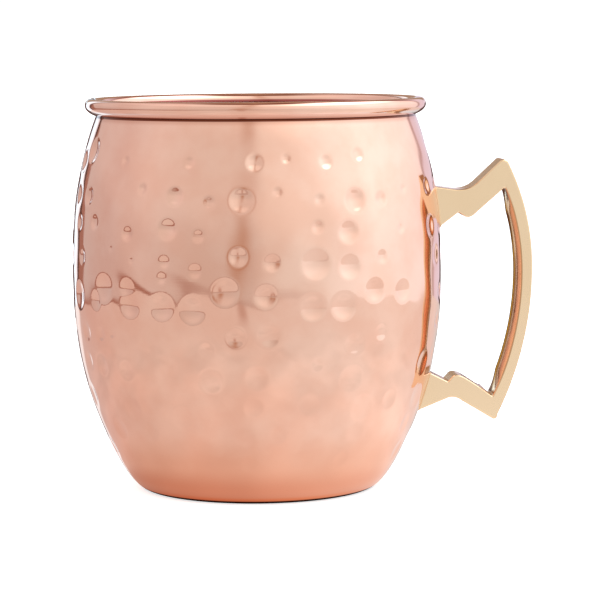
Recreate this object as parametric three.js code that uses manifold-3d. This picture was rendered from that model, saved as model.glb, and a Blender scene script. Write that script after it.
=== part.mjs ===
// Barrel-shaped hammered copper mug with a cast brass handle.
// Millimetres, +Z up. The origin is the centre of the flat base, on the surface that the mug
// stands on. The handle lies in the XZ plane and points along +X.
import * as THREE from "three";
import { mergeVertices } from "three/addons/utils/BufferGeometryUtils.js";
import Module from "manifold-3d";

// Mug body: one drawn sheet of copper, from the middle of the base to the rolled rim
const MUG_HEIGHT = 100;
const BASE_RADIUS = 28.3;
const CORNER_RADIUS = 36;
const CORNER_HEIGHT = 8;
const BELLY_RADIUS = 47.2;
const BELLY_HEIGHT = 56;
const NECK_RADIUS = 40.8;
const NECK_HEIGHT = 95.5;
const LOWER_FULLNESS = 2.3; // a higher power keeps the wall near the belly radius for longer
const UPPER_FULLNESS = 2.35;
const SHEET = 0.8;

// Rolled rim: the sheet rounds over outwards, then slants back in under itself, and its edge
// stops just short of the neck. Each point is [radius, height].
const RIM_MOUTH = [39.95, 97.8]; // innermost point of the roll
const RIM_CREST = [41.8, MUG_HEIGHT];
const RIM_LIP = [43.5, 98.2]; // outermost point of the roll
const RIM_EDGE = [41.35, 95.85]; // where the sheet ends
// Its three curves, each with the two control points between its ends
const RIM_CURVES = [
  [RIM_EDGE, [42.3, 96.2], [RIM_LIP[0], 97.1], RIM_LIP],
  [RIM_LIP, [RIM_LIP[0], 99.4], [42.8, MUG_HEIGHT], RIM_CREST],
  [RIM_CREST, [40.7, MUG_HEIGHT], [RIM_MOUTH[0], 99.1], RIM_MOUTH],
];

// Brazed seams: filler metal between each foot of the handle and the wall
const BRAZE_THICKNESS = 0.3;
const BRAZE_CLEARANCE = 0.1; // on either side of the filler
const SEAM = BRAZE_THICKNESS + 2 * BRAZE_CLEARANCE;
const BRAZE_MARGIN = 1; // the wall's solid is cut this far past the filler's ends

// Handle: a flat brass casting with an angular outline
const HANDLE_THICKNESS = 9.5;
const EDGE_ROUND = 0.35;
const FOOT_ROOT = 38; // the feet are drawn this far in and then trimmed to the wall
const GRIP_REACH = 70.7; // outermost point of the grip
const GRIP_WIDTH = 3; // at that point, in side view
const OUTER_ARC = { height: 56.3, upper: 60, lower: 86, top: 82.4, bottom: 18 };
const INNER_ARC = { height: 55, upper: 59, lower: 75, top: 76.6, bottom: 22.6 };

// Side outline of the two bars, in [distance from the mug's axis, height]. A rounded corner is
// listed as the points where it starts, where its straight sides would meet, and where it ends;
// at the grip it ends on the grip's own arc.
const UPPER_BAR = {
  rootTop: 78,
  rootBottom: 60,
  knee: [[50.4, 76.2], [54, 75.7], [56.4, 77.8]],
  peak: [[62.2, 83.3], [63.7, 84.6]],
  bump: [[55.9, 69.9], [54.3, 68.4], [53, 69.3]],
  notch: [51.6, 70.3],
};
const LOWER_BAR = {
  rootTop: 32.1,
  rootBottom: 18.1,
  tip: [[61.3, 16.2], [59.6, 17.3]],
  knee: [[52.4, 21.6], [50.3, 23.2], [48.1, 22.1]],
  notch: [48.8, 26.6],
  bump: [[49.8, 27.8], [50.9, 28.9], [53.2, 27.6]],
  shoulder: [56.9, 25.3],
};

// Surface finishes
const COPPER = { color: 0xe6ab92, roughness: 0.2 };
const BRASS = { color: 0xe3c08c, roughness: 0.3 };
const FILLER = { color: 0xd9a066, roughness: 0.45 };

// Fineness of the round shapes
const TURN_STEPS = 64;
const WALL_STEPS = 12;
const CORNER_STEPS = 4;
const ROLL_STEPS = 5; // for each of the rim's three curves
const HANDLE_CURVE_STEPS = 5;
const GRIP_STEPS = 8; // for each of the two arcs down a side of the grip
const BEVEL_STEPS = 2;
const SLOPE_STEP = 0.01; // the wall's slope is measured over this height on either side
const MERGE_DISTANCE = 1e-3; // vertices closer than this are one

const wasm = await Module();
wasm.setup();

// Outside radius of the plain wall at a height
function wallRadius(z) {
  if (z > BELLY_HEIGHT) {
    const up = (z - BELLY_HEIGHT) / (NECK_HEIGHT - BELLY_HEIGHT);
    return BELLY_RADIUS - (BELLY_RADIUS - NECK_RADIUS) * up ** UPPER_FULLNESS;
  }
  const down = (BELLY_HEIGHT - z) / (BELLY_HEIGHT - CORNER_HEIGHT);
  return BELLY_RADIUS - (BELLY_RADIUS - CORNER_RADIUS) * down ** LOWER_FULLNESS;
}

function wallSlope(z) {
  return (wallRadius(z + SLOPE_STEP) - wallRadius(z - SLOPE_STEP)) / (2 * SLOPE_STEP);
}

// Point [radius, height] at a distance out from the wall's outer face, along its normal
function wallPoint(z, offset) {
  const slope = wallSlope(z);
  const length = Math.hypot(1, slope);
  return new THREE.Vector2(wallRadius(z) + offset / length, z - (offset * slope) / length);
}

// Points up the wall from one height to another
function wallPoints(from, to, offset) {
  const points = [];
  for (let i = 0; i <= WALL_STEPS; i += 1) {
    points.push(wallPoint(THREE.MathUtils.lerp(from, to, i / WALL_STEPS), offset));
  }
  return points;
}

// Rounded corner from the flat base out to the foot of the wall
function cornerPoints(offset) {
  const start = new THREE.Vector2(BASE_RADIUS, -offset);
  const end = wallPoint(CORNER_HEIGHT, offset);
  const bend = new THREE.Vector2(end.x - (end.y - start.y) * wallSlope(CORNER_HEIGHT), start.y);
  return new THREE.QuadraticBezierCurve(start, bend, end).getPoints(CORNER_STEPS);
}

// Face of the rolled sheet from its edge over the lip and the crest to the mouth, at a
// distance in from the roll's outside
function rollPoints(inset) {
  const points = [];
  RIM_CURVES.forEach((controls, index) => {
    const curve = new THREE.CubicBezierCurve(...controls.map(([x, y]) => new THREE.Vector2(x, y)));
    for (let i = index === 0 ? 0 : 1; i <= ROLL_STEPS; i += 1) {
      const inwards = curve.getTangent(i / ROLL_STEPS);
      inwards.set(-inwards.y, inwards.x).multiplyScalar(inset);
      points.push(curve.getPoint(i / ROLL_STEPS).add(inwards));
    }
  });
  return points;
}

// Solid or shell of revolution about Z from a profile of [radius, height] points
function turned(profile) {
  return new THREE.LatheGeometry(profile, TURN_STEPS).rotateX(Math.PI / 2);
}

function mugBodyGeometry() {
  const outside = [...cornerPoints(0), ...wallPoints(CORNER_HEIGHT, NECK_HEIGHT, 0).slice(1)];
  const inside = [
    ...cornerPoints(-SHEET),
    ...wallPoints(CORNER_HEIGHT, NECK_HEIGHT, -SHEET).slice(1),
  ];
  return turned([
    new THREE.Vector2(0, 0),
    ...outside,
    ...rollPoints(SHEET).reverse(),
    ...rollPoints(0),
    ...inside.reverse(),
    new THREE.Vector2(0, SHEET),
  ]);
}

// Solid barrel that follows the wall at a distance outside it, between two heights
function barrelGeometry(offset, from, to) {
  const wall = wallPoints(from, to, offset);
  return turned([
    new THREE.Vector2(0, wall[0].y),
    ...wall,
    new THREE.Vector2(0, wall[wall.length - 1].y),
  ]);
}

// Points down one side of the grip: two arcs that meet at the grip's outermost point
function gripEdge(reach, arc) {
  const topAngle = Math.asin((arc.top - arc.height) / arc.upper);
  const bottomAngle = Math.asin((arc.bottom - arc.height) / arc.lower);
  const points = [];
  for (let i = 0; i < GRIP_STEPS; i += 1) {
    const angle = topAngle * (1 - i / GRIP_STEPS);
    points.push([
      reach - arc.upper * (1 - Math.cos(angle)),
      arc.height + arc.upper * Math.sin(angle),
    ]);
  }
  for (let i = 0; i <= GRIP_STEPS; i += 1) {
    const angle = (bottomAngle * i) / GRIP_STEPS;
    points.push([
      reach - arc.lower * (1 - Math.cos(angle)),
      arc.height + arc.lower * Math.sin(angle),
    ]);
  }
  return points;
}

// Continues an outline along a straight line and then round a corner
function lineAndCorner(shape, [start, corner, end]) {
  shape.lineTo(...start);
  shape.quadraticCurveTo(...corner, ...end);
}

// Side outline of the handle, clockwise from the top of the upper foot. Each bar has a shallow
// knee near its foot and runs at a slant to a pointed end of the bowed grip.
function handleOutline() {
  const outer = gripEdge(GRIP_REACH, OUTER_ARC);
  const inner = gripEdge(GRIP_REACH - GRIP_WIDTH, INNER_ARC).reverse();
  const shape = new THREE.Shape();
  shape.moveTo(FOOT_ROOT, UPPER_BAR.rootTop);
  lineAndCorner(shape, UPPER_BAR.knee);
  lineAndCorner(shape, [...UPPER_BAR.peak, outer[0]]);
  outer.slice(1).forEach((point) => shape.lineTo(...point));
  shape.quadraticCurveTo(...LOWER_BAR.tip[0], ...LOWER_BAR.tip[1]);
  lineAndCorner(shape, LOWER_BAR.knee);
  shape.lineTo(FOOT_ROOT, LOWER_BAR.rootBottom);
  shape.lineTo(FOOT_ROOT, LOWER_BAR.rootTop);
  shape.lineTo(...LOWER_BAR.notch);
  lineAndCorner(shape, LOWER_BAR.bump);
  shape.quadraticCurveTo(...LOWER_BAR.shoulder, ...inner[0]);
  inner.slice(1).forEach((point) => shape.lineTo(...point));
  lineAndCorner(shape, UPPER_BAR.bump);
  shape.lineTo(...UPPER_BAR.notch);
  shape.lineTo(FOOT_ROOT, UPPER_BAR.rootBottom);
  shape.closePath();
  return shape;
}

// The handle's casting before its feet are trimmed, centred on the XZ plane
function handleBlankGeometry() {
  const depth = HANDLE_THICKNESS - 2 * EDGE_ROUND;
  return new THREE.ExtrudeGeometry(handleOutline(), {
    depth,
    curveSegments: HANDLE_CURVE_STEPS,
    bevelThickness: EDGE_ROUND,
    bevelSize: EDGE_ROUND,
    bevelOffset: -EDGE_ROUND,
    bevelSegments: BEVEL_STEPS,
  })
    .translate(0, 0, -depth / 2)
    .rotateX(Math.PI / 2);
}

// A closed geometry as a solid that can be cut
function solidFrom(geometry) {
  const bare = geometry.clone();
  bare.deleteAttribute("normal");
  bare.deleteAttribute("uv");
  const merged = mergeVertices(bare, MERGE_DISTANCE);
  return new wasm.Manifold(
    new wasm.Mesh({
      numProp: 3,
      vertProperties: merged.attributes.position.array,
      triVerts: new Uint32Array(merged.index.array),
    }),
  );
}

function geometryFrom(solid) {
  const { vertProperties, triVerts } = solid.getMesh();
  const geometry = new THREE.BufferGeometry();
  geometry.setAttribute("position", new THREE.BufferAttribute(vertProperties, 3));
  geometry.setIndex(new THREE.BufferAttribute(triVerts, 1));
  geometry.computeVertexNormals();
  return geometry;
}

function barrel(offset, from, to) {
  return solidFrom(barrelGeometry(offset, from, to));
}

// The handle's casting with its feet trimmed to stand off the wall by the seam
function handleGeometry(blank) {
  return geometryFrom(blank.subtract(barrel(SEAM, CORNER_HEIGHT, NECK_HEIGHT)));
}

// Filler metal under one foot of the handle, between two heights
function brazeGeometry(blank, from, to) {
  const filler = blank.intersect(barrel(BRAZE_CLEARANCE + BRAZE_THICKNESS, from, to));
  const wall = barrel(BRAZE_CLEARANCE, from - BRAZE_MARGIN, to + BRAZE_MARGIN);
  return geometryFrom(filler.subtract(wall));
}

function piece(name, geometry, finish) {
  const material = new THREE.MeshStandardMaterial({ ...finish, metalness: 1 });
  const mesh = new THREE.Mesh(geometry, material);
  mesh.name = name;
  return mesh;
}

const handleBlank = solidFrom(handleBlankGeometry());
const upperBraze = brazeGeometry(handleBlank, BELLY_HEIGHT, NECK_HEIGHT - BRAZE_MARGIN);
const lowerBraze = brazeGeometry(handleBlank, CORNER_HEIGHT + BRAZE_MARGIN, BELLY_HEIGHT);

const mug = new THREE.Group();
mug.add(piece("mug_body", mugBodyGeometry(), COPPER));
mug.add(piece("handle", handleGeometry(handleBlank), BRASS));
mug.add(piece("upper_foot_braze", upperBraze, FILLER));
mug.add(piece("lower_foot_braze", lowerBraze, FILLER));

export default mug;
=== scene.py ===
"""Looks of a hammered copper mug with a cast brass handle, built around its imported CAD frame.

Shapes are worked out in millimetres, and mesh_object turns them into metres. Names that end in
_MM, the rim's and the handle's points and arcs, and the hammer marks are in millimetres too; the
materials, the studio and the camera are in metres. The mug stands on z = 0 with its axis on z,
and its handle points along +X.
"""
import math

import bpy
import numpy as np
from mathutils import Matrix, Vector


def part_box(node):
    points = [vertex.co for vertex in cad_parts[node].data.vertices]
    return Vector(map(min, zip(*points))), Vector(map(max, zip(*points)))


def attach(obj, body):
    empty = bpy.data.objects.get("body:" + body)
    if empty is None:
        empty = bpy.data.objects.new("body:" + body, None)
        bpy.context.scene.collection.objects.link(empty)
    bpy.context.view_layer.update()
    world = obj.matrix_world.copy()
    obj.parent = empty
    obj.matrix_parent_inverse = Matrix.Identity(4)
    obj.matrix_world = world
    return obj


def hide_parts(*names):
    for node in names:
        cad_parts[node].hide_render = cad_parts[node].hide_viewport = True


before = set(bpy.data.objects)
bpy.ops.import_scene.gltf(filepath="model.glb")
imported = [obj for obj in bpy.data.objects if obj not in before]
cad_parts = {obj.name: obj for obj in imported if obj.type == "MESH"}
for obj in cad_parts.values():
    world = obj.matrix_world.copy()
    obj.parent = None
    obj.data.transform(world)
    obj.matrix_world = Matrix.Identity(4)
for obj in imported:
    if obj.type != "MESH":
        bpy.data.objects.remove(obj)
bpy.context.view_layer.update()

MM = 0.001
DEGREES = 180 / math.pi

# Mug body, as in the CAD model
MUG_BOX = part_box("mug_body")
HEIGHT_MM = MUG_BOX[1].z / MM
BELLY_RADIUS_MM = MUG_BOX[1].x / MM
BASE_RADIUS_MM = 28.3
CORNER_RADIUS_MM = 36.0
CORNER_HEIGHT_MM = 8.0
BELLY_HEIGHT_MM = 56.0
NECK_RADIUS_MM = 40.8
NECK_HEIGHT_MM = 95.5
LOWER_FULLNESS = 2.3
UPPER_FULLNESS = 2.35
SHEET_MM = 0.8
# Points of the rolled rim's face, as (radius, height)
RIM_MOUTH = (39.95, 97.8)
RIM_CREST = (41.8, HEIGHT_MM)
RIM_LIP = (43.5, 98.2)
RIM_EDGE = (41.15, 95.78)

# Handle, as in the CAD model
HANDLE_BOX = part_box("handle")
HANDLE_THICKNESS_MM = (HANDLE_BOX[1].y - HANDLE_BOX[0].y) / MM
GRIP_REACH_MM = HANDLE_BOX[1].x / MM
GRIP_WIDTH_MM = 3.0
FOOT_ROOT_MM = 38.0
# Each side of the grip as two arcs: the height where they meet, the radius above and below it,
# and the heights of the two ends
OUTER_ARC = {"height": 56.3, "upper": 60, "lower": 86, "top": 82.4, "bottom": 18}
INNER_ARC = {"height": 55, "upper": 59, "lower": 75, "top": 76.6, "bottom": 22.6}
# Corners of the outline, as (x, z)
HANDLE_PEAK = (63.7, 84.6)
HANDLE_TIP = (61.3, 16.2)
UPPER_NOTCH = (51.6, 70.3)
LOWER_NOTCH = (48.8, 26.6)
EDGE_ROUND_MM = 0.35
SMALLEST_ROUND_MM = 0.05
SHARP_FROM = math.radians(35)
GRIP_CROWN_MM = 1.35  # how far the grip's inner face bulges from its edges to its middle
GRIP_EDGE_MM = 0.13  # how far its edges lie behind the plain outline
GRIP_FROM_X_MM = 57  # the inner outline is the grip's beyond this, and a bar's before it
CROWN_RUN_OUT_MM = 6
FOOT_GAP_MM = 0.35

# Filler round the feet: its section as (outwards from the foot, up from the plain wall)
FILLET_MM = ((0.45, -0.5), (0.45, 0.03), (0.28, 0.07), (0.15, 0.16), (0.05, 0.3), (-0.1, 0.5))
FILLET_CORNER_MM = 0.5

# Fineness of the meshes
COLUMNS = 640
HAMMERED_ROW_MM = 0.5
INSIDE_ROW_MM = 1.1
DISC_RINGS = 6
CORNER_RINGS = 14
INSIDE_CORNER_RINGS = 10
ROLL_RINGS = 9
GRIP_STEPS = 20
EDGE_STEPS = 5  # round the handle's long edges
CORNER_STEPS = 6  # round each corner of its outline
FOOT_STEPS = 8  # down each foot along the wall

# Hammer marks
MARK_DEPTH = 0.08  # depth of a mark over its diameter
MARK_ROWS_MM = (86, 77, 68.5, 60.5, 52, 43, 34, 25, 18.5, 12)
MARK_SPACING_MM = 10.5
MARK_SHIFT = 0.22  # how far a scattered mark may lie off its place, over the spacing
MARK_RISE_MM = 1.8  # and how far above or below its row
MARK_SIZES_MM = {"usual": 5.2, "spread": 1.3, "least": 2.2, "most": 7.2}
MARKS_LEFT_OUT = 0.1  # share of the scattered marks
MARKS_SEED = 11
FRONT_HALF = 60  # degrees to each side of the front where the marks are listed one by one
# Degrees from the front towards the handle, height and diameter
FRONT_MARKS = (
    (-50, 85.5, 2.5), (-25, 85.5, 3), (-4, 85.5, 4), (6, 86.5, 2.5), (19, 85.5, 3.5),
    (31, 87, 3.5), (43, 91, 1.5), (-41, 79, 2.5), (-29, 77.5, 4.5), (-18, 76, 3),
    (-8, 76.5, 6), (3, 78.5, 2.5), (16, 76.5, 2.5), (28, 76, 6), (38, 76, 3.5), (49, 78, 2),
    (-53, 64, 1.5), (-46, 68, 3.5), (-31, 69.5, 5), (-21, 68, 3), (15, 70, 3),
    (25, 68.5, 5.5), (46, 68.5, 2.5), (-44, 61.5, 1.5), (-32, 61.5, 3), (-33, 57.5, 2.5),
    (-22, 59.5, 3.5), (-9, 63, 4.5), (1, 61.5, 4), (14, 61, 7.5), (25, 60, 6), (37, 62, 3.5),
    (-57, 54, 7), (-46, 54.5, 4.5), (-45, 50.5, 6), (-33, 50.5, 6.5), (-23, 50, 6.5),
    (-13, 54.5, 6.5), (-1, 53.5, 5), (13, 50.5, 6.5), (23, 50.5, 6.5), (34, 54, 5.5),
    (46, 53, 5.5), (-54, 43, 2.5), (-19, 40.5, 3.5), (-10, 43.5, 5), (0, 44, 6),
    (27, 41, 5.5), (37, 43.5, 4.5), (15, 36.5, 3), (-49, 34, 5), (-30, 36, 1.5),
    (-18, 32.5, 6), (-4, 33.5, 6), (27, 32.5, 6.5), (-50, 24.5, 6), (-29, 23, 6),
    (-5, 26, 5), (13, 26.5, 5.5), (33, 24.5, 7), (45, 26, 5), (-44, 18.5, 4.5),
    (-8, 18.5, 5), (3, 19, 4.5), (32, 18.5, 5), (-7, 11.5, 4), (12, 12, 4), (29, 11.5, 4),
)
SOFT_EDGE = 0.85  # share of a mark's radius where its bowl begins to run out into the wall
# How deep the marks are at a height, as a share of MARK_DEPTH
WEAR_HEIGHTS_MM = (12, 36, 48, 60, 74)
WEAR_SHARES = (0.5, 0.65, 1.0, 1.0, 1.35)
WAVES = 26  # waves that add up to the unevenness between the marks
WAVES_SEED = 5

# Camera: where it stands and what it looks at, seen from the mug
CAMERA_DISTANCE = 0.7
CAMERA_HEIGHT = 0.1189
CAMERA_AIM = (0.011, 0.0479)  # right of the mug's axis, and above the floor
CAMERA_ROLL = math.radians(-0.406)
CAMERA_LENS_MM = 164.1
CAMERA_SENSOR_MM = 36.0
CAMERA_CLIP = 0.01
HANDLE_TURN = math.radians(3.5)  # how far the handle points away from the camera

# Floor and table top, both just under the mug
FLOOR_REACH = 6.0
FLOOR_LEVEL_MM = -0.02
TABLE_REACH = 0.42  # how far the table reaches, as the mug reflects it
TABLE_LEVEL_MM = -0.04
TABLE_SIDES = 96
TABLE_BRIGHTNESS = 0.92

# Colours of the metals
COPPER_DULL = (0.93, 0.54, 0.41, 1)
COPPER_BRIGHT = (0.965, 0.605, 0.475, 1)
# Painted reflection of the copper's glow off the table, deepening it towards the base, and a
# painted contact shadow at the base
COPPER_LOW_REFLECTION = (0.94, 0.47, 0.32, 1)
COPPER_FOOT_REFLECTION = (0.96, 0.34, 0.15, 1)
COPPER_CONTACT_SHADOW = (0.16, 0.02, 0.01, 1)
# Painted light round the rolled rim: a reflection on the bead's underside, shade on the neck, a
# shadow in the crease and a dark reflection inside the mouth
COPPER_UNDERSIDE_REFLECTION = (1.0, 0.88, 0.86, 1)
COPPER_SHADE = (0.5, 0.16, 0.09, 1)
COPPER_CREASE_SHADOW = (0.17, 0.04, 0.02, 1)
COPPER_MOUTH_REFLECTION = (0.3, 0.02, 0.03, 1)
BRASS_DULL = (0.975, 0.71, 0.46, 1)
BRASS_BRIGHT = (1.0, 0.75, 0.51, 1)
# Painted reflection of the copper body with painted shade on the grip's inner face; the same
# colour darkens the handle's rounded edges
BRASS_DARK_REFLECTION = (0.6, 0.35, 0.16, 1)
BRASS_REFLECTION_TINT = (0.62, 0.36, 0.2, 1)
FILLER_DARK = (0.74, 0.45, 0.25, 1)
FILLER_BRIGHT = (0.88, 0.6, 0.38, 1)
WHITE = (1.0, 1.0, 1.0, 1)
BUMP_DISTANCE = 0.0002

# Painted light that sets in towards the base: a painted reflection of the copper's glow off the
# table that deepens its colour, and a painted contact shadow where it meets the table; the
# heights where one begins and is full, and its colour
BASE_PAINTED_TONES = (
    (0.022, 0.0, COPPER_LOW_REFLECTION), (0.0022, 0.001, COPPER_FOOT_REFLECTION), (0.0009, 0.0005, COPPER_CONTACT_SHADOW)
)
# Level bands of the copper near the rim, where painted shade, a painted shadow and a painted dark
# reflection go
NECK_SHADE = {"middle": 0.0955, "half_width": 0.0009, "soft": 0.0012}
CREASE_SHADOW = {"middle": 0.09556, "half_width": 0.0003, "soft": 0.0002}
MOUTH_REFLECTION = {"middle": 0.0979, "half_width": 0.0005, "soft": 0.0002}

# Studio: colours of the soft boxes, of the table top and of what the mug's outlines reflect
# in it, at azimuths in degrees from the camera, positive to the right
WALL_TONES = (
    (-144, (0.73, 0.69, 0.7, 1)),
    (-105, (0.745, 0.69, 0.7, 1)),
    (-75, (0.84, 0.81, 0.81, 1)),
    (-40, (0.79, 0.77, 0.75, 1)),
    (-3, (0.79, 0.76, 0.73, 1)),
    (6, (0.93, 0.95, 0.93, 1)),
    (40, (1.06, 1.14, 1.15, 1)),
    (80, (1.32, 1.46, 1.54, 1)),
    (120, (1.28, 1.36, 1.46, 1)),
    (140, (1.15, 1.15, 1.2, 1)),
)
TABLE_TONES = (
    (-148, (0.73, 0.6, 0.58, 1)),
    (-110, (0.79, 0.69, 0.67, 1)),
    (-60, (0.83, 0.78, 0.75, 1)),
    (-5, (0.86, 0.83, 0.8, 1)),
    (40, (0.95, 0.98, 0.98, 1)),
    (85, (1.05, 1.07, 1.07, 1)),
    (140, (0.96, 0.9, 0.88, 1)),
)
OUTLINE_TONES = (
    (-164, (0.25, 0.18, 0.17, 1)),
    (-161.5, (1.1, 1.15, 1.2, 1)),
    (-151.5, (1.1, 1.15, 1.2, 1)),
    (-149, (0.73, 0.6, 0.58, 1)),
    (150, (0.95, 0.88, 0.86, 1)),
    (165, (0.8, 0.78, 0.76, 1)),
    (169, (0.45, 0.42, 0.4, 1)),
)
OVERHEAD_TONE = (0.24, 0.11, 0.07, 1)
# Painted contact shadow on the table top under the mug's base
UNDER_BASE_SHADOW = (0.03, 0.01, 0.01, 1)
# Glow of the mug on the table, by shares of a reach of 0.25 from its axis
TABLE_GLOW = (
    (0.11, (0.55, 0.25, 0.17, 1)),
    (0.135, (0.8, 0.55, 0.46, 1)),
    (0.17, (0.95, 0.83, 0.77, 1)),
    (0.24, (1.0, 0.94, 0.92, 1)),
    (0.5, WHITE),
)
# Backdrop, by shares of the way from straight down to straight up, and how its light is tinted
BACKDROP_TONES = (
    (0.0, WHITE), (0.58, WHITE), (0.7, (0.35, 0.2, 0.15, 1)), (1.0, (0.2, 0.1, 0.07, 1))
)
BACKDROP_RIGHT = (0.85, 0.8, 0.95, 1)
BACKDROP_LEFT = (1.3, 1.8, 2.1, 1)
# Narrow dark flags
LOW_FLAG_TONE = (0.12, 0.06, 0.05, 1)
HIGH_FLAG_TONE = (0.42, 0.31, 0.23, 1)
RIGHT_FLAG_TONE = (0.35, 0.16, 0.07, 1)
LEFT_FLAG_TONE = (0.09, 0.05, 0.04, 1)
# The gap between the soft boxes, with its depth by shares of the way from 10 degrees below
# the level to 50 above it
GAP_AZIMUTH = -10.5
GAP_HALF_WIDTH = 9.0
GAP_LEAN = 0.12
GAP_TONE = (0.48, 0.26, 0.15, 1)
TABLE_GAP_TONE = (0.44, 0.2, 0.12, 1)
GAP_DEPTHS = (
    (0.0, 0.1), (0.08, 0.2), (0.14, 0.8), (0.19, 0.6),
    (0.35, 0.3), (0.6, 0.08), (0.68, 0.1), (0.75, 0.35),
)
# The dark line beyond the table's edge, with its strength at azimuths
SHADOW_LINE_TONE = (0.33, 0.12, 0.07, 1)
SHADOW_LINE_STRENGTH = ((-60, 0.8), (-34, 0.3), (25, 0.2), (45, 0.0))


def wall_radius(z):
    """Outside radius of the plain wall at a height, both in mm; z may be an array."""
    up = np.clip((z - BELLY_HEIGHT_MM) / (NECK_HEIGHT_MM - BELLY_HEIGHT_MM), 0, None)
    down = np.clip((BELLY_HEIGHT_MM - z) / (BELLY_HEIGHT_MM - CORNER_HEIGHT_MM), 0, None)
    return (
        BELLY_RADIUS_MM
        - (BELLY_RADIUS_MM - NECK_RADIUS_MM) * up**UPPER_FULLNESS
        - (BELLY_RADIUS_MM - CORNER_RADIUS_MM) * down**LOWER_FULLNESS
    )


def wall_slope(z):
    """How fast the plain wall's radius grows with height."""
    step = 0.01
    return (wall_radius(z + step) - wall_radius(z - step)) / (2 * step)


def quadratic(start, bend, end, steps):
    """Points of a quadratic curve, without its first one."""
    start, bend, end = (np.array(p, float) for p in (start, bend, end))
    t = (np.arange(1, steps + 1) / steps)[:, None]
    return list(start * (1 - t) ** 2 + bend * 2 * t * (1 - t) + end * t**2)


def cubic(start, leave, reach, end, steps):
    """Points of a cubic curve, without its first one."""
    start, leave, reach, end = (np.array(p, float) for p in (start, leave, reach, end))
    t = (np.arange(1, steps + 1) / steps)[:, None]
    return list(
        start * (1 - t) ** 3
        + leave * 3 * t * (1 - t) ** 2
        + reach * 3 * t**2 * (1 - t)
        + end * t**3
    )


# ---------------------------------------------------------------- hammer marks


def scattered_marks():
    """Marks all round the mug except on its front, in staggered rows, as on the front."""
    rng = np.random.default_rng(MARKS_SEED)
    marks = []
    for row, height in enumerate(MARK_ROWS_MM):
        count = round(2 * math.pi * wall_radius(height) / MARK_SPACING_MM)
        for i in range(count):
            shift = rng.uniform(-MARK_SHIFT, MARK_SHIFT)
            angle = 360 * (i + 0.5 * (row % 2) + shift) / count - 180
            z = height + rng.uniform(-MARK_RISE_MM, MARK_RISE_MM)
            diameter = rng.normal(MARK_SIZES_MM["usual"], MARK_SIZES_MM["spread"])
            diameter = float(np.clip(diameter, MARK_SIZES_MM["least"], MARK_SIZES_MM["most"]))
            if abs(angle) > FRONT_HALF and rng.random() > MARKS_LEFT_OUT:
                marks.append((angle, z, diameter))
    return marks


def bowl(distance):
    """Depth of a mark, from 1 in its middle to 0, against distance over its radius."""
    outer = 1 / SOFT_EDGE
    inside = 1 - distance**2
    run_out = (outer - distance) ** 2 * SOFT_EDGE / (outer - SOFT_EDGE)
    return np.where(distance < SOFT_EDGE, inside, np.where(distance < outer, run_out, 0))


def dent_depths(angles, heights, marks):
    """Depth of the hammered surface under the plain wall, in mm, on a grid."""
    depth = np.zeros((len(heights), len(angles)))
    for degrees, height, diameter in marks:
        angle = math.radians(degrees - 90)
        radius = diameter / 2
        reach = radius / SOFT_EDGE
        rows = np.nonzero(np.abs(heights - height) < reach)[0]
        if not len(rows):
            continue
        across = np.angle(np.exp(1j * (angles - angle))) * wall_radius(height)
        columns = np.nonzero(np.abs(across) < reach)[0]
        distance = np.hypot(across[columns][None, :], (heights[rows] - height)[:, None]) / radius
        patch = np.ix_(rows, columns)
        worn = np.interp(height, WEAR_HEIGHTS_MM, WEAR_SHARES)
        deepest = worn * MARK_DEPTH * diameter
        depth[patch] = np.maximum(depth[patch], deepest * bowl(distance))
    return depth


def waviness(angles, heights):
    """Slight unevenness that planishing leaves between the marks, in mm."""
    rng = np.random.default_rng(WAVES_SEED)
    total = np.zeros((len(heights), len(angles)))
    for _ in range(WAVES):
        turns = rng.integers(4, 26)
        pitch = rng.uniform(11, 40)
        size = rng.uniform(0.004, 0.012)
        phase, shift = rng.uniform(0, 2 * math.pi, 2)
        around = turns * angles[None, :] + phase
        upwards = 2 * math.pi * heights[:, None] / pitch
        total += size * np.cos(around + upwards + shift)
    fade_in = np.clip((heights - 6) / 12, 0, 1)
    fade_out = np.clip((94 - heights) / 8, 0, 1)
    return total * (fade_in * fade_out)[:, None]


# ---------------------------------------------------------------- meshes


def mesh_object(name, points, faces, smooth=True):
    """A new object in the scene from points in mm and faces."""
    mesh = bpy.data.meshes.new(name)
    mesh.from_pydata((np.asarray(points) * MM).tolist(), [], faces)
    mesh.validate()
    if smooth:
        mesh.shade_smooth()
    piece = bpy.data.objects.new(name, mesh)
    bpy.context.scene.collection.objects.link(piece)
    return piece


def ring_faces(rows, columns):
    """Quads of a grid whose columns close on themselves, as vertex numbers."""
    row = np.arange(rows - 1)[:, None] * columns
    column = np.arange(columns)[None, :]
    after = (column + 1) % columns
    corners = (row + column, row + after, row + columns + after, row + columns + column)
    return np.stack(np.broadcast_arrays(*corners), -1).reshape(-1, 4)


def wall_heights(step):
    """Heights of the rings up the wall, about a step apart."""
    count = round((NECK_HEIGHT_MM - CORNER_HEIGHT_MM) / step)
    return np.linspace(CORNER_HEIGHT_MM, NECK_HEIGHT_MM, count + 1)


def corner_profile(offset, steps):
    """Rounded corner from the flat base to the foot of the wall, as (radius, height)."""
    slope = float(wall_slope(CORNER_HEIGHT_MM))
    length = math.hypot(1, slope)
    start = (BASE_RADIUS_MM, -offset)
    end = (CORNER_RADIUS_MM + offset / length, CORNER_HEIGHT_MM - offset * slope / length)
    bend = (end[0] - (end[1] - start[1]) * slope, start[1])
    return [np.array(start)] + quadratic(start, bend, end, steps)


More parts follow.
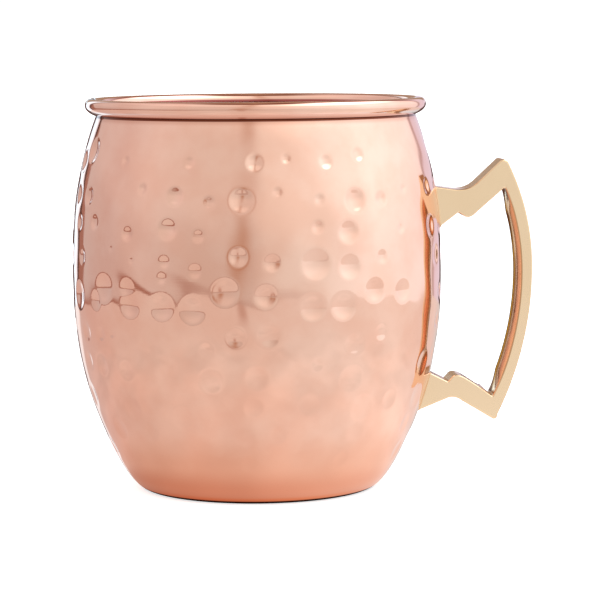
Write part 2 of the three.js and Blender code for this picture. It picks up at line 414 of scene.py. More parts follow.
def roll_profile(inset, steps):
    """Face of the rolled rim from its edge over the lip and crest to the mouth."""
    path = [np.array(RIM_EDGE)]
    path += cubic(RIM_EDGE, (42.2, 96.2), (RIM_LIP[0], 97.1), RIM_LIP, steps)
    path += cubic(RIM_LIP, (RIM_LIP[0], 99.4), (42.8, HEIGHT_MM), RIM_CREST, steps)
    path += cubic(RIM_CREST, (40.7, HEIGHT_MM), (RIM_MOUTH[0], 99.1), RIM_MOUTH, steps)
    path = np.array(path)
    along = np.gradient(path, axis=0)
    along /= np.linalg.norm(along, axis=1)[:, None]
    inwards = np.stack([-along[:, 1], along[:, 0]], 1)
    return path + inwards * inset


def wall_grid(offset, step, angles, marks):
    """Rings up one face of the hammered wall, as an array of rows, columns and xyz."""
    heights = wall_heights(step)
    slope = wall_slope(heights)
    length = np.hypot(1, slope)
    dented = offset - dent_depths(angles, heights, marks) + waviness(angles, heights)
    radius = wall_radius(heights)[:, None] + dented / length[:, None]
    z = heights[:, None] - dented * (slope / length)[:, None]
    return np.stack([radius * np.cos(angles), radius * np.sin(angles), z], -1)


def profile_grid(profile, angles):
    """Rings from a plain profile of (radius, height) points."""
    profile = np.asarray(profile)
    radius = profile[:, 0, None]
    z = np.broadcast_to(profile[:, 1, None], (len(profile), len(angles)))
    return np.stack([radius * np.cos(angles), radius * np.sin(angles), z], -1)


def disc_profile(z, steps):
    """Flat round face of the base from near its middle outwards."""
    return [(BASE_RADIUS_MM * i / steps, z) for i in range(1, steps)]


def capped_tube(name, loops):
    """A new object from loops of points in mm, joined in order and closed at both ends."""
    columns = len(loops[0])
    faces = ring_faces(len(loops), columns).tolist()
    faces.append(list(range(columns))[::-1])
    faces.append([(len(loops) - 1) * columns + i for i in range(columns)])
    return mesh_object(name, np.concatenate(loops), faces)


def make_body():
    """The copper body: one closed sheet from the middle of the base to the rolled edge."""
    angles = np.arange(COLUMNS) * 2 * math.pi / COLUMNS
    marks = list(FRONT_MARKS) + scattered_marks()
    grids = [
        profile_grid(disc_profile(0, DISC_RINGS), angles),
        profile_grid(corner_profile(0, CORNER_RINGS)[:-1], angles),
        wall_grid(0, HAMMERED_ROW_MM, angles, marks),
        profile_grid(roll_profile(SHEET_MM, ROLL_RINGS)[::-1], angles),
        profile_grid(roll_profile(0, ROLL_RINGS), angles),
        wall_grid(-SHEET_MM, INSIDE_ROW_MM, angles, marks)[::-1],
        profile_grid(corner_profile(-SHEET_MM, INSIDE_CORNER_RINGS)[:-1][::-1], angles),
        profile_grid(disc_profile(SHEET_MM, DISC_RINGS)[::-1], angles),
    ]
    rings = np.concatenate(grids)
    rows = len(rings)
    points = list(rings.reshape(-1, 3))
    faces = ring_faces(rows, COLUMNS).tolist()
    under, over = len(points), len(points) + 1
    points += [np.array([0, 0, 0.0]), np.array([0, 0, SHEET_MM])]
    last = (rows - 1) * COLUMNS
    for i in range(COLUMNS):
        after = (i + 1) % COLUMNS
        faces.append((under, after, i))
        faces.append((over, last + i, last + after))
    return mesh_object("hammered_body", points, faces)


def grip_edge(reach, arc, steps):
    """Points down one side of the grip: two arcs that meet at its outermost point."""
    top = math.asin((arc["top"] - arc["height"]) / arc["upper"])
    bottom = math.asin((arc["bottom"] - arc["height"]) / arc["lower"])
    points = []
    for i in range(steps):
        angle = top * (1 - i / steps)
        drop = arc["upper"] * (1 - math.cos(angle))
        points.append((reach - drop, arc["height"] + arc["upper"] * math.sin(angle)))
    for i in range(steps + 1):
        angle = bottom * i / steps
        drop = arc["lower"] * (1 - math.cos(angle))
        points.append((reach - drop, arc["height"] + arc["lower"] * math.sin(angle)))
    return points


def handle_outlines():
    """Outer and inner side outlines of the handle with sharp corners, each from the upper
    foot's root to the lower foot's, as (x, z), and the round of each point or 0."""
    outer_grip = grip_edge(GRIP_REACH_MM, OUTER_ARC, GRIP_STEPS)
    inner_grip = grip_edge(GRIP_REACH_MM - GRIP_WIDTH_MM, INNER_ARC, GRIP_STEPS)
    upper_bar_top, lower_bar_bottom = (50.4, 76.2), (52.4, 21.6)
    outer = [(FOOT_ROOT_MM, 78), upper_bar_top]
    outer += quadratic(upper_bar_top, (54, 75.7), (56.4, 77.8), 10)
    outer += [HANDLE_PEAK] + outer_grip + [HANDLE_TIP, lower_bar_bottom]
    outer += quadratic(lower_bar_bottom, (50.3, 23.2), (48.1, 22.1), 8)
    outer += [(FOOT_ROOT_MM, 18.1)]
    upper_bar_under, lower_bar_over = (53, 69.3), (53.2, 27.6)
    inner = [(FOOT_ROOT_MM, 60), UPPER_NOTCH, upper_bar_under]
    inner += quadratic(upper_bar_under, (54.3, 68.4), (55.9, 69.9), 8)
    inner += inner_grip
    inner += quadratic(inner_grip[-1], (56.9, 25.3), lower_bar_over, 10)
    inner += quadratic(lower_bar_over, (50.9, 28.9), (49.8, 27.8), 8)
    inner += [LOWER_NOTCH, (FOOT_ROOT_MM, 32.1)]
    rounds = {HANDLE_PEAK: 1.3, HANDLE_TIP: 0.8, UPPER_NOTCH: 0.5, LOWER_NOTCH: 0.5}
    rounds[tuple(inner_grip[0])] = 0.4
    rounds[tuple(inner_grip[-1])] = 0.4
    return [
        (np.array(path, float), [rounds.get(tuple(point), 0) for point in path])
        for path in (outer, inner)
    ]


def inset_path(path, inset):
    """An open path moved to its left by an inset in mm, one value or one for each point."""
    steps = np.diff(path, axis=0)
    steps /= np.linalg.norm(steps, axis=1)[:, None]
    normals = np.stack([-steps[:, 1], steps[:, 0]], 1)
    before = np.concatenate([normals[:1], normals])
    after = np.concatenate([normals, normals[-1:]])
    mitre = before + after
    mitre /= np.linalg.norm(mitre, axis=1)[:, None]
    least_cosine = 0.3
    stretch = 1 / np.clip((mitre * after).sum(1), least_cosine, 1)
    return path + mitre * (stretch * inset)[:, None]


def round_corners(path, rounds, growth):
    """The path with an arc at each point that has a round. Growth widens the arcs that turn
    to the right and narrows the others."""
    rounded = []
    for i, (corner, radius) in enumerate(zip(path, rounds)):
        if not radius:
            rounded.append(corner)
            continue
        back, on = path[i - 1] - corner, path[i + 1] - corner
        back_length, on_length = np.linalg.norm(back), np.linalg.norm(on)
        back, on = back / back_length, on / on_length
        left_turn = back[0] * on[1] - back[1] * on[0] < 0
        radius = max(radius - growth if left_turn else radius + growth, SMALLEST_ROUND_MM)
        half_turn = (math.pi - math.acos(np.clip(back @ on, -1, 1))) / 2
        longest_cut = 0.9 * min(back_length, on_length)
        cut = min(radius * math.tan(half_turn), longest_cut)
        radius = cut / math.tan(half_turn)
        inwards = (back + on) / np.linalg.norm(back + on)
        centre = corner + inwards * radius / math.cos(half_turn)
        x, z = corner + back * cut - centre
        sweep = (2 if left_turn else -2) * half_turn
        for step in range(CORNER_STEPS + 1):
            turn = sweep * step / CORNER_STEPS
            cos, sin = math.cos(turn), math.sin(turn)
            rounded.append(centre + (x * cos - z * sin, x * sin + z * cos))
    return np.array(rounded)


def meet_wall(path, y):
    """The path with its two ends moved to where a foot ends, just off the mug's wall, at a
    depth y."""
    halvings = 30
    path = path.copy()
    for end, inner in ((0, 1), (-1, -2)):
        near, far = 0.0, 1.0
        for _ in range(halvings):
            middle = (near + far) / 2
            x, z = path[end] * (1 - middle) + path[inner] * middle
            if math.hypot(x, y) < wall_radius(z) + FOOT_GAP_MM:
                near = middle
            else:
                far = middle
        path[end] = path[end] * (1 - far) + path[inner] * far
    return path


def foot_edge(start, end, y):
    """Points along the wall from one end of a foot to the other, without the ends."""
    heights = np.linspace(start, end, FOOT_STEPS + 1)[1:-1]
    radius = wall_radius(heights) + FOOT_GAP_MM
    return np.stack([np.sqrt(radius**2 - y**2), heights], 1)


def bar_layers(half, radius, steps):
    """(y, inset) of the slices through a flat bar with rounded edges, from one face over
    both rounds to the other. The first and last slice frame the flat faces."""
    face_margin = 0.06
    across_steps = 20
    layers = [(-half, radius + face_margin)]
    for i in range(steps + 1):
        angle = math.pi / 2 * i / steps
        inset = radius * (1 - math.sin(angle))
        layers.append((-half + radius * (1 - math.cos(angle)), inset))
    across = [
        ((2 * i / across_steps - 1) * (half - radius), 0.0) for i in range(1, across_steps)
    ]
    return layers + across + [(-y, inset) for y, inset in reversed(layers)]


def grip_crown(path):
    """Share of the crown at each point of the inner outline: all along the grip, none on
    the bars."""
    x, z = path[:, 0], path[:, 1]
    lower = np.clip((z - INNER_ARC["bottom"]) / CROWN_RUN_OUT_MM, 0, 1)
    upper = np.clip((INNER_ARC["top"] - z) / CROWN_RUN_OUT_MM, 0, 1)
    return np.where(x > GRIP_FROM_X_MM, lower * upper, 0)


def darkening_levels(y, inset):
    """How strongly one slice of the handle is darkened, from 0 to 1: all over, and on the grip's
    inner face, where a painted reflection of the copper body and painted shade go. Only the
    rounded edges and that inner face are marked."""
    margin = 0.02
    if margin < inset < EDGE_ROUND_MM - margin:
        return 0.3, 0.75
    between_edges = inset == 0
    return 0.0, np.interp(abs(y), (1.2, 2.4), (1.0, 0.3)) * between_edges


def make_handle():
    """The cast handle as slices across Y, with rounded edges and a grip that is slightly
    crowned where the fingers lie."""
    (outer, outer_rounds), (inner, inner_rounds) = handle_outlines()
    inner, inner_rounds = inner[::-1], inner_rounds[::-1]
    crown = grip_crown(inner)
    half = HANDLE_THICKNESS_MM / 2
    slices, darkening_and_reflection = [], []
    for y, inset in bar_layers(half, EDGE_ROUND_MM, EDGE_STEPS):
        bulge = (GRIP_CROWN_MM * (1 - abs(y / half) ** 2) - GRIP_EDGE_MM) * crown
        outside = round_corners(inset_path(outer, -inset), outer_rounds, inset)
        inside = round_corners(inset_path(inner, bulge - inset), inner_rounds, inset)
        outside = meet_wall(outside, y)
        inside = meet_wall(inside, y)
        lower = foot_edge(outside[-1][1], inside[0][1], y)
        upper = foot_edge(inside[-1][1], outside[0][1], y)
        loop = np.concatenate([outside, lower, inside, upper])
        slices.append(np.stack([loop[:, 0], np.full(len(loop), y), loop[:, 1]], 1))
        # How dark each slice is marked: darker rounded edges, and painted reflection and shade on
        # the grip's inner face
        everywhere, on_grip = darkening_levels(y, inset)
        marked = np.full(len(loop), everywhere)
        start = len(outside) + len(lower)
        marked[start : start + len(inside)] = on_grip * grip_crown(inside) ** 0.5
        darkening_and_reflection.append(marked)
    piece = capped_tube("cast_handle", slices)
    piece.data.set_sharp_from_angle(angle=SHARP_FROM)
    darkening_attribute = piece.data.attributes.new("darkening_and_reflection", "FLOAT", "POINT")
    darkening_attribute.data.foreach_set("value", np.concatenate(darkening_and_reflection))
    return piece


def foot_outline(top, bottom):
    """A rounded rectangle round a foot of the handle as (y, z), with its outward normals."""
    corner_steps, side_steps = 4, 14
    middle = np.array([0, (top + bottom) / 2])
    half = np.array([HANDLE_THICKNESS_MM, top - bottom]) / 2 - FILLET_CORNER_MM
    hubs = [middle + half * way for way in ((1, 1), (-1, 1), (-1, -1), (1, -1))]
    points, normals = [], []
    for quarter, hub in enumerate(hubs):
        for i in range(corner_steps + 1):
            angle = math.pi / 2 * (quarter + i / corner_steps)
            normals.append(np.array([math.cos(angle), math.sin(angle)]))
            points.append(hub + normals[-1] * FILLET_CORNER_MM)
        onwards = hubs[(quarter + 1) % 4] - hub
        start, normal = points[-1], normals[-1]
        for i in range(1, side_steps):
            points.append(start + onwards * i / side_steps)
            normals.append(normal)
    return np.array(points), np.array(normals)


def make_braze(name, node):
    """The filler between one foot and the wall, with a small hollow fillet all round."""
    low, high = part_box(node)
    points, normals = foot_outline(high.z / MM, low.z / MM)
    loops = []
    for outset, lift in FILLET_MM:
        y, z = (points + normals * outset).T
        radius = wall_radius(z) + lift
        loops.append(np.stack([np.sqrt(radius**2 - y**2), y, z], 1))
    return capped_tube(name, loops)


# ---------------------------------------------------------------- materials


class Nodes:
    """Short forms for building one node tree."""

    def __init__(self, tree):
        self.tree = tree
        tree.nodes.clear()

    def fill(self, socket, value):
        """Link a socket to another one, or set it to a plain value."""
        if isinstance(value, bpy.types.NodeSocket):
            self.tree.links.new(value, socket)
        else:
            socket.default_value = value

    def add(self, kind, inputs=None, **settings):
        node = self.tree.nodes.new(kind)
        for key, value in settings.items():
            setattr(node, key, value)
        for key, value in (inputs or {}).items():
            self.fill(node.inputs[key], value)
        return node

    def place(self):
        return self.add("ShaderNodeTexCoord").outputs["Object"]

    def split(self, vector):
        return self.add("ShaderNodeSeparateXYZ", {"Vector": vector}).outputs

    def length(self, vector):
        return self.add("ShaderNodeVectorMath", {0: vector}, operation="LENGTH").outputs["Value"]

    def math(self, operation, *values):
        return self.add("ShaderNodeMath", dict(enumerate(values)), operation=operation).outputs[0]

    def times(self, first, second):
        return self.math("MULTIPLY", first, second)

    def between(self, value, low, high, to_low=0.0, to_high=1.0, smooth=True):
        """The value with its range from low to high spread over another one, level beyond it."""
        inputs = {
            "Value": value,
            "From Min": low,
            "From Max": high,
            "To Min": to_low,
            "To Max": to_high,
        }
        kind = "SMOOTHSTEP" if smooth else "LINEAR"
        return self.add("ShaderNodeMapRange", inputs, interpolation_type=kind).outputs["Result"]

    def band(self, value, middle, half_width, soft):
        """1 within a half width of the middle, falling to 0 over a soft edge."""
        distance = self.math("ABSOLUTE", self.math("SUBTRACT", value, middle))
        inner = self.math("SUBTRACT", half_width, soft / 2)
        return self.between(distance, self.math("ADD", inner, soft), inner)

    def noise(self, vector, scale, detail):
        inputs = {"Vector": vector, "Scale": scale, "Detail": detail}
        return self.add("ShaderNodeTexNoise", inputs).outputs["Fac"]

    def drawn_out(self, vector, scale):
        """The vector scaled along Z, which flattens a noise into lines round the mug."""
        inputs = {"Vector": vector, "Scale": (1.0, 1.0, scale)}
        return self.add("ShaderNodeMapping", inputs).outputs["Vector"]

    def bump(self, height, strength):
        inputs = {"Strength": strength, "Distance": BUMP_DISTANCE, "Height": height}
        return self.add("ShaderNodeBump", inputs).outputs["Normal"]

    def mix(self, factor, first, second, blend="MIX"):
        node = self.add("ShaderNodeMix", data_type="RGBA", blend_type=blend)
        sockets = {socket.identifier: socket for socket in node.inputs}
        for key, value in (("Factor_Float", factor), ("A_Color", first), ("B_Color", second)):
            self.fill(sockets[key], value)
        return next(s for s in node.outputs if s.identifier == "Result_Color")

    def tint(self, color, by):
        return self.mix(1.0, color, by, "MULTIPLY")

    def ramp(self, value, stops, interpolation="EASE"):
        node = self.add("ShaderNodeValToRGB", {"Fac": value})
        node.color_ramp.interpolation = interpolation
        elements = node.color_ramp.elements
        while len(elements) > 1:
            elements.remove(elements[-1])
        elements[0].position, elements[0].color = stops[0]
        for position, color in stops[1:]:
            elements.new(position).color = color
        return node.outputs["Color"]


def grey(value):
    return (value, value, value, 1)


def greys(stops):
    """Stops of (place, value) as the (place, colour) that a ramp takes."""
    return [(place, grey(value)) for place, value in stops]


def material(name):
    """A new material, and its emptied node tree to build in."""
    made = bpy.data.materials.new(name)
    made.use_nodes = True
    return made, Nodes(made.node_tree)


def finish_metal(nodes, color, roughness, normal, edge_tint=WHITE):
    """End a material's tree as bare metal; the edge tint colours what it mirrors at a
    grazing angle."""
    inputs = {
        "Base Color": color,
        "Metallic": 1.0,
        "Roughness": roughness,
        "Normal": normal,
        "Specular Tint": edge_tint,
    }
    shader = nodes.add("ShaderNodeBsdfPrincipled", inputs)
    nodes.add("ShaderNodeOutputMaterial", {"Surface": shader.outputs["BSDF"]})


def copper_color(nodes, place):
    """Colour of the copper: faintly mottled, deepened towards the base by a painted reflection of
    its glow off the table, and with a painted contact shadow as a dark line where it meets the
    table."""
    height = nodes.split(place)["Z"]
    mottle = nodes.noise(place, scale=100.0, detail=3.0)
    mottle = nodes.between(mottle, 0.3, 0.7)
    color = nodes.mix(mottle, COPPER_DULL, COPPER_BRIGHT)
    # Painted reflection that deepens the copper towards the base, then a painted contact shadow
    for begins, full, tone in BASE_PAINTED_TONES:
        color = nodes.mix(nodes.between(height, begins, full), color, tone)
    return color


def rim_color(nodes, place, color):
    """The copper's colour with the light and shade painted round the rolled rim: a painted
    reflection that makes the bead's underside pale, a painted shadow in the dark crease below it
    with a soft painted shade on the neck, and a painted dark reflection just inside the mouth."""
    height = nodes.split(place)["Z"]
    level = nodes.add("ShaderNodeVectorMath", {0: place, 1: (1.0, 1.0, 0.0)}, operation="MULTIPLY")
    reach = nodes.length(level.outputs["Vector"])
    outside = nodes.between(reach, 0.0402, 0.0405)
    inside = nodes.between(reach, 0.0406, 0.0403)
    # Painted reflection: the bead's underside is made pale
    underside = nodes.times(nodes.between(height, 0.0972, 0.0966), outside)
    underside = nodes.times(underside, nodes.between(height, 0.0957, 0.0959))
    color = nodes.mix(underside, color, COPPER_UNDERSIDE_REFLECTION)
    # Painted shade on the neck under the bead
    shade = nodes.times(nodes.band(height, **NECK_SHADE), outside)
    color = nodes.mix(nodes.times(shade, 0.35), color, COPPER_SHADE)
    # Painted shadow in the crease under the bead
    crease = nodes.times(nodes.band(height, **CREASE_SHADOW), outside)
    color = nodes.mix(crease, color, COPPER_CREASE_SHADOW)
    # Painted dark reflection just inside the mouth
    mouth = nodes.times(nodes.band(height, **MOUTH_REFLECTION), inside)
    return nodes.mix(nodes.times(mouth, 0.85), color, COPPER_MOUTH_REFLECTION)


def copper_material():
    """Polished copper, slightly worn, with fine lines left by the polishing wheel round the
    mug."""
    made, nodes = material("polished_copper")
    place = nodes.place()
    color = rim_color(nodes, place, copper_color(nodes, place))
    lines = nodes.noise(nodes.drawn_out(place, scale=40.0), scale=90.0, detail=5.0)
    wear = nodes.noise(place, scale=130.0, detail=5.0)
    worn = nodes.between(wear, 0.35, 0.7, to_low=0.04, to_high=0.08)
    roughness = nodes.math("ADD", worn, nodes.times(lines, 0.03))
    finish_metal(nodes, color, roughness, nodes.bump(lines, strength=0.006))
    return made


def brass_material():
    """Polished cast brass: faint clouding of its tone and shine, fine polishing lines, and, where
    the handle's mesh is marked for it, darker rounded edges and a painted reflection of the
    copper body with painted shade on the grip's inner face."""
    made, nodes = material("cast_brass")
    place = nodes.place()
    darkening_and_reflection = nodes.add("ShaderNodeAttribute", attribute_name="darkening_and_reflection").outputs["Fac"]
    color = nodes.mix(nodes.noise(place, scale=60.0, detail=4.0), BRASS_DULL, BRASS_BRIGHT)
    # Painted reflection of the copper and painted shade on the grip's inner face, darker rounded
    # edges, and the same marks tinting what the brass mirrors there
    color = nodes.mix(darkening_and_reflection, color, BRASS_DARK_REFLECTION)
    edge_tint = nodes.mix(darkening_and_reflection, WHITE, BRASS_REFLECTION_TINT)
    cloud = nodes.noise(place, scale=150.0, detail=3.0)
    roughness = nodes.between(cloud, 0.3, 0.7, to_low=0.13, to_high=0.19)
    grain = nodes.noise(nodes.drawn_out(place, scale=5.0), scale=400.0, detail=4.0)
    finish_metal(nodes, color, roughness, nodes.bump(grain, strength=0.02), edge_tint)
    return made


def braze_material():
    """Filler metal, slightly rough and browned by the torch."""
    made, nodes = material("braze_metal")
    heat = nodes.noise(nodes.place(), scale=300.0, detail=4.0)
    color = nodes.mix(heat, FILLER_DARK, FILLER_BRIGHT)
    roughness = nodes.between(heat, 0.3, 0.7, to_low=0.28, to_high=0.45)
    finish_metal(nodes, color, roughness, nodes.bump(heat, strength=0.2))
    return made


def dress(piece, finish):
    """Give a piece its only material."""
    piece.data.materials.clear()
    piece.data.materials.append(finish)


# ---------------------------------------------------------------- studio
#
# Azimuths are in degrees from the camera's side of the mug, positive to the right and
# +-180 behind the mug. Elevations are in degrees above the level.


def from_camera(nodes, vector):
    """How far a vector points to the right of the camera, and how far away from it."""
    inputs = {"Vector": vector, "Angle": HANDLE_TURN}
    turned = nodes.add("ShaderNodeVectorRotate", inputs, rotation_type="Z_AXIS")
    parts = nodes.split(turned.outputs["Vector"])
    return parts["X"], parts["Y"]


def azimuth_from(nodes, right, away):
    """Azimuth of a vector, from how far it points to the right and away."""
    towards = nodes.times(away, -1.0)
    return nodes.times(nodes.math("ARCTAN2", right, towards), DEGREES)


def azimuth_of(nodes, vector):
    """Azimuth of a direction, or of a place as seen from the mug's axis."""
    right, away = from_camera(nodes, vector)
    return azimuth_from(nodes, right, away)


def azimuth_beside(nodes, place):
    """Like azimuth_of, but from the nearer side of the mug: the direction in which the mug's
    outline reflects a place on the table."""
    right, away = from_camera(nodes, place)
    wide = nodes.between(away, 0.0, 0.16, to_low=0.031, to_high=0.044, smooth=False)
    nearest = nodes.math("MAXIMUM", nodes.math("MINIMUM", right, wide), nodes.times(wide, -1.0))
    return azimuth_from(nodes, nodes.math("SUBTRACT", right, nearest), away)


def around_the_mug(nodes, azimuth, stops):
    """Colours by azimuth, from stops of (azimuth, colour)."""
    share = nodes.between(azimuth, -180.0, 180.0, smooth=False)
    places = [((degrees + 180) / 360, color) for degrees, color in stops]
    return nodes.ramp(share, places, "LINEAR")


def studio_walls(nodes, azimuth, elevation):
    """The soft boxes: bright and cool on the right, dimmer on the left, with a narrow gap
    near the camera, and both falling off overhead."""
    walls = around_the_mug(nodes, azimuth, WALL_TONES)
    brightest = nodes.between(azimuth, 0.0, 72.0, to_low=1.2, to_high=2.2)
    lift = nodes.between(elevation, 30.0, 46.0, to_low=1.0, to_high=brightest)
    near_table = nodes.between(elevation, -4.0, 16.0, to_low=0.86, to_high=1.0)
    walls = nodes.tint(walls, nodes.times(lift, near_table))
    walls = nodes.mix(nodes.between(elevation, 60.0, 78.0), walls, OVERHEAD_TONE)
    leaning = nodes.math("SUBTRACT", azimuth, nodes.times(elevation, GAP_LEAN))
    from_gap = nodes.math("ABSOLUTE", nodes.math("ADD", leaning, -GAP_AZIMUTH))
    gap = nodes.between(from_gap, GAP_HALF_WIDTH, 0.0)
    share = nodes.between(elevation, -10.0, 50.0, smooth=False)
    depth = nodes.ramp(share, greys(GAP_DEPTHS))
    return nodes.mix(nodes.times(gap, depth), walls, GAP_TONE)


def white_backdrop(nodes, azimuth, elevation):
    """The paper behind the mug: white up to where it ends and dark above, and brighter on the
    left than on the right."""
    share = nodes.between(elevation, -90.0, 90.0, smooth=False)
    tone = nodes.ramp(share, BACKDROP_TONES)
    on_right = nodes.tint(tone, BACKDROP_RIGHT)
    on_left = nodes.tint(tone, BACKDROP_LEFT)
    return nodes.mix(nodes.between(azimuth, -130.0, -170.0), on_right, on_left)


def table_shadow_line(nodes, azimuth, elevation, light):
    """The light with the dark line beyond the table's edge: thin on the left, thicker towards
    the back, faint in front and gone on the right."""
    top = nodes.between(azimuth, -143.0, -135.0, to_low=9.0, to_high=-6.7)
    above, below = nodes.math("ADD", top, 0.9), nodes.math("SUBTRACT", top, 0.3)
    line = nodes.between(elevation, above, below)
    from_left = nodes.between(azimuth, -152.0, -147.0)
    strength = around_the_mug(nodes, azimuth, greys(SHADOW_LINE_STRENGTH))
    strength = nodes.times(from_left, strength)
    return nodes.mix(nodes.times(line, strength), light, SHADOW_LINE_TONE)


def dark_flags(nodes, azimuth, elevation, light):
    """The light with the narrow dark flags that give the mug's sides their outlines: one
    behind that is low, one behind that is high, a faint one to the right and one to the
    left."""
    behind = nodes.between(nodes.math("ABSOLUTE", azimuth), 160.0, 163.0)
    top = nodes.between(azimuth, 10.0, -10.0, to_low=0.5, to_high=4.5)
    low = nodes.between(elevation, top, nodes.math("SUBTRACT", top, 1.5))
    high = nodes.between(elevation, 4.0, 6.5)
    right = nodes.band(azimuth, 143.0, half_width=2.0, soft=4.0)
    left = nodes.band(azimuth, -147.0, half_width=1.8, soft=1.5)
    flags = (
        (nodes.times(behind, low), LOW_FLAG_TONE),
        (nodes.times(behind, high), HIGH_FLAG_TONE),
        (nodes.times(right, 0.55), RIGHT_FLAG_TONE),
        (nodes.times(left, 0.9), LEFT_FLAG_TONE),
    )
    for strength, color in flags:
        light = nodes.mix(strength, light, color)
    return light


def make_studio_light():
    """Light all round: soft boxes to the right and left, a white backdrop behind the mug, a
    dark ceiling and narrow dark flags. The camera itself sees plain white."""
    world = bpy.data.worlds.new("studio")
    bpy.context.scene.world = world
    world.use_nodes = True
    nodes = Nodes(world.node_tree)
    direction = nodes.add("ShaderNodeTexCoord").outputs["Generated"]
    azimuth = azimuth_of(nodes, direction)
    elevation = nodes.times(nodes.math("ARCSINE", nodes.split(direction)["Z"]), DEGREES)
    backdrop = white_backdrop(nodes, azimuth, elevation)
    light = studio_walls(nodes, azimuth, elevation)
    light = nodes.mix(nodes.between(azimuth, -148.0, -150.0), light, backdrop)
    light = nodes.mix(nodes.between(azimuth, 138.0, 144.0), light, backdrop)
    light = table_shadow_line(nodes, azimuth, elevation, light)
    light = dark_flags(nodes, azimuth, elevation, light)
    seen = nodes.add("ShaderNodeLightPath").outputs["Is Camera Ray"]
    light = nodes.mix(seen, light, grey(1.05))
    sky = nodes.add("ShaderNodeBackground", {"Color": light, "Strength": 1.0})
    nodes.add("ShaderNodeOutputWorld", {"Surface": sky.outputs["Background"]})


def table_color(nodes, place, azimuth, reach):
    """Colour of the table top: lit like the walls, with a copper glow close to the mug, the
    gap's reflection, tones for the mug's outlines, and a painted contact shadow as a dark line
    under its base."""
    tone = around_the_mug(nodes, azimuth, TABLE_TONES)
    glow = nodes.ramp(nodes.between(reach, 0.0, 0.25, smooth=False), TABLE_GLOW)
    gap = nodes.band(azimuth, -9.0, half_width=2.5, soft=4.0)
    in_gap = nodes.times(gap, nodes.between(reach, 0.15, 0.3, to_low=0.0, to_high=0.5))
    tone = nodes.mix(in_gap, tone, TABLE_GAP_TONE)
    glowing = nodes.between(azimuth, -50.0, 70.0, to_low=1.0, to_high=0.6)
    tone = nodes.mix(glowing, tone, nodes.tint(tone, glow))
    beside = azimuth_beside(nodes, place)
    outlined = nodes.between(nodes.math("ABSOLUTE", beside), 148.0, 150.0)
    tone = nodes.mix(outlined, tone, around_the_mug(nodes, beside, OUTLINE_TONES))
    # Painted contact shadow under the base
    return nodes.mix(nodes.between(reach, 0.0304, 0.0298), tone, UNDER_BASE_SHADOW)


def table_strength(nodes, place, azimuth, reach):
    """Brightness of the table top: slightly uneven, lifted close to the mug on the right, and
    with a brighter patch in front."""
    cloud = nodes.noise(place, scale=22.0, detail=2.0)
    cloud = nodes.between(cloud, 0.3, 0.7, to_low=-0.07, to_high=0.07)
    uneven = nodes.times(cloud, nodes.between(reach, 0.24, 0.1))
    close = nodes.between(reach, 0.16, 0.05, to_low=0.0, to_high=0.09)
    lifted = nodes.times(close, nodes.between(azimuth, -50.0, 10.0))
    from_left = nodes.between(azimuth, -110.0, -50.0, to_low=0.0, to_high=0.05)
    patch = nodes.times(from_left, nodes.between(azimuth, 35.0, 5.0))
    patch = nodes.times(patch, nodes.band(reach, 0.09, half_width=0.035, soft=0.03))
    plain = nodes.math("ADD", lifted, TABLE_BRIGHTNESS)
    return nodes.math("ADD", nodes.math("ADD", uneven, patch), plain)


def table_material():
    """The table top as the metal sees it: a surface that shines by itself."""
    made, nodes = material("table_top")
    place = nodes.place()
    azimuth = azimuth_of(nodes, place)
    reach = nodes.length(place)
    color = table_color(nodes, place, azimuth, reach)
    strength = table_strength(nodes, place, azimuth, reach)
    shine = nodes.add("ShaderNodeEmission", {"Color": color, "Strength": strength})
    nodes.add("ShaderNodeOutputMaterial", {"Surface": shine.outputs[0]})
    return made


def floor_material():
    """White paper that is lit well enough to lose its shadows."""
    made, nodes = material("white_floor")
    paper = nodes.add("ShaderNodeBsdfDiffuse", {"Color": grey(0.9)})
    lift = nodes.add("ShaderNodeEmission", {"Color": grey(1.0), "Strength": 0.7})
    both = nodes.add("ShaderNodeAddShader", {0: paper.outputs[0], 1: lift.outputs[0]})
    nodes.add("ShaderNodeOutputMaterial", {"Surface": both.outputs[0]})
    return made


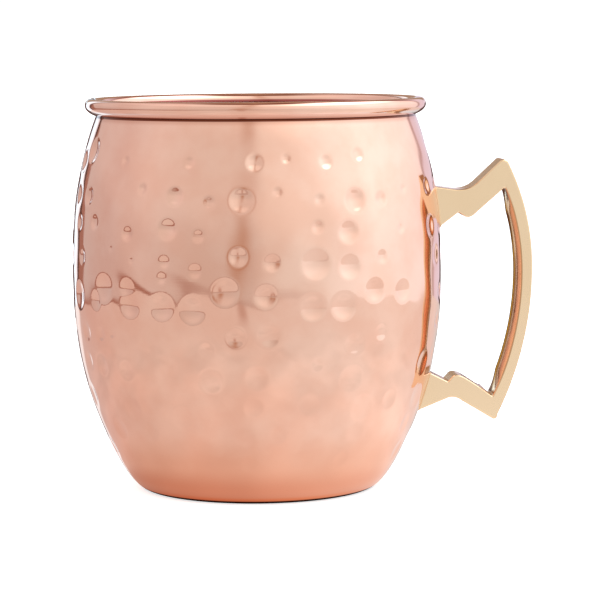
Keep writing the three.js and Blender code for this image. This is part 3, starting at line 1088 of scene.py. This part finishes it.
def make_floor():
    """A plain white floor that only the camera sees."""
    reach = FLOOR_REACH / MM
    around = ((-1, -1), (1, -1), (1, 1), (-1, 1))
    corners = [(reach * x, reach * y, FLOOR_LEVEL_MM) for x, y in around]
    floor = mesh_object("floor", corners, [(0, 1, 2, 3)], smooth=False)
    floor.visible_glossy = False
    floor.visible_diffuse = False
    dress(floor, floor_material())


def make_table():
    """A round table top just under the floor, that only the metal reflects."""
    reach = TABLE_REACH / MM
    turns = [2 * math.pi * i / TABLE_SIDES for i in range(TABLE_SIDES)]
    rim = [(reach * math.cos(turn), reach * math.sin(turn), TABLE_LEVEL_MM) for turn in turns]
    table = mesh_object("table_top", rim, [tuple(range(TABLE_SIDES))], smooth=False)
    table.visible_camera = False
    dress(table, table_material())


def make_camera():
    """A long lens at the height and distance from which the mug is seen."""
    data = bpy.data.cameras.new("camera")
    data.lens = CAMERA_LENS_MM
    data.sensor_width = CAMERA_SENSOR_MM
    data.clip_start = CAMERA_CLIP
    camera = bpy.data.objects.new("camera", data)
    bpy.context.scene.collection.objects.link(camera)
    turn = Matrix.Rotation(-HANDLE_TURN, 3, "Z")
    eye = turn @ Vector((0, -CAMERA_DISTANCE, CAMERA_HEIGHT))
    aim = turn @ Vector((CAMERA_AIM[0], 0, CAMERA_AIM[1]))
    look = (aim - eye).to_track_quat("-Z", "Y").to_matrix()
    placed = (look @ Matrix.Rotation(CAMERA_ROLL, 3, "Z")).to_4x4()
    placed.translation = eye
    camera.matrix_world = placed
    bpy.context.scene.camera = camera


def main():
    make_camera()
    make_studio_light()
    make_floor()
    make_table()

    body = make_body()
    dress(body, copper_material())
    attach(body, "root")
    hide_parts("mug_body")

    handle = make_handle()
    dress(handle, brass_material())
    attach(handle, "root")
    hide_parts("handle")

    filler = braze_material()
    for node in ("upper_foot_braze", "lower_foot_braze"):
        seam = make_braze(node.replace("braze", "fillet"), node)
        dress(seam, filler)
        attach(seam, "root")
        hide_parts(node)

    bpy.context.scene.view_settings.view_transform = "Standard"


main()
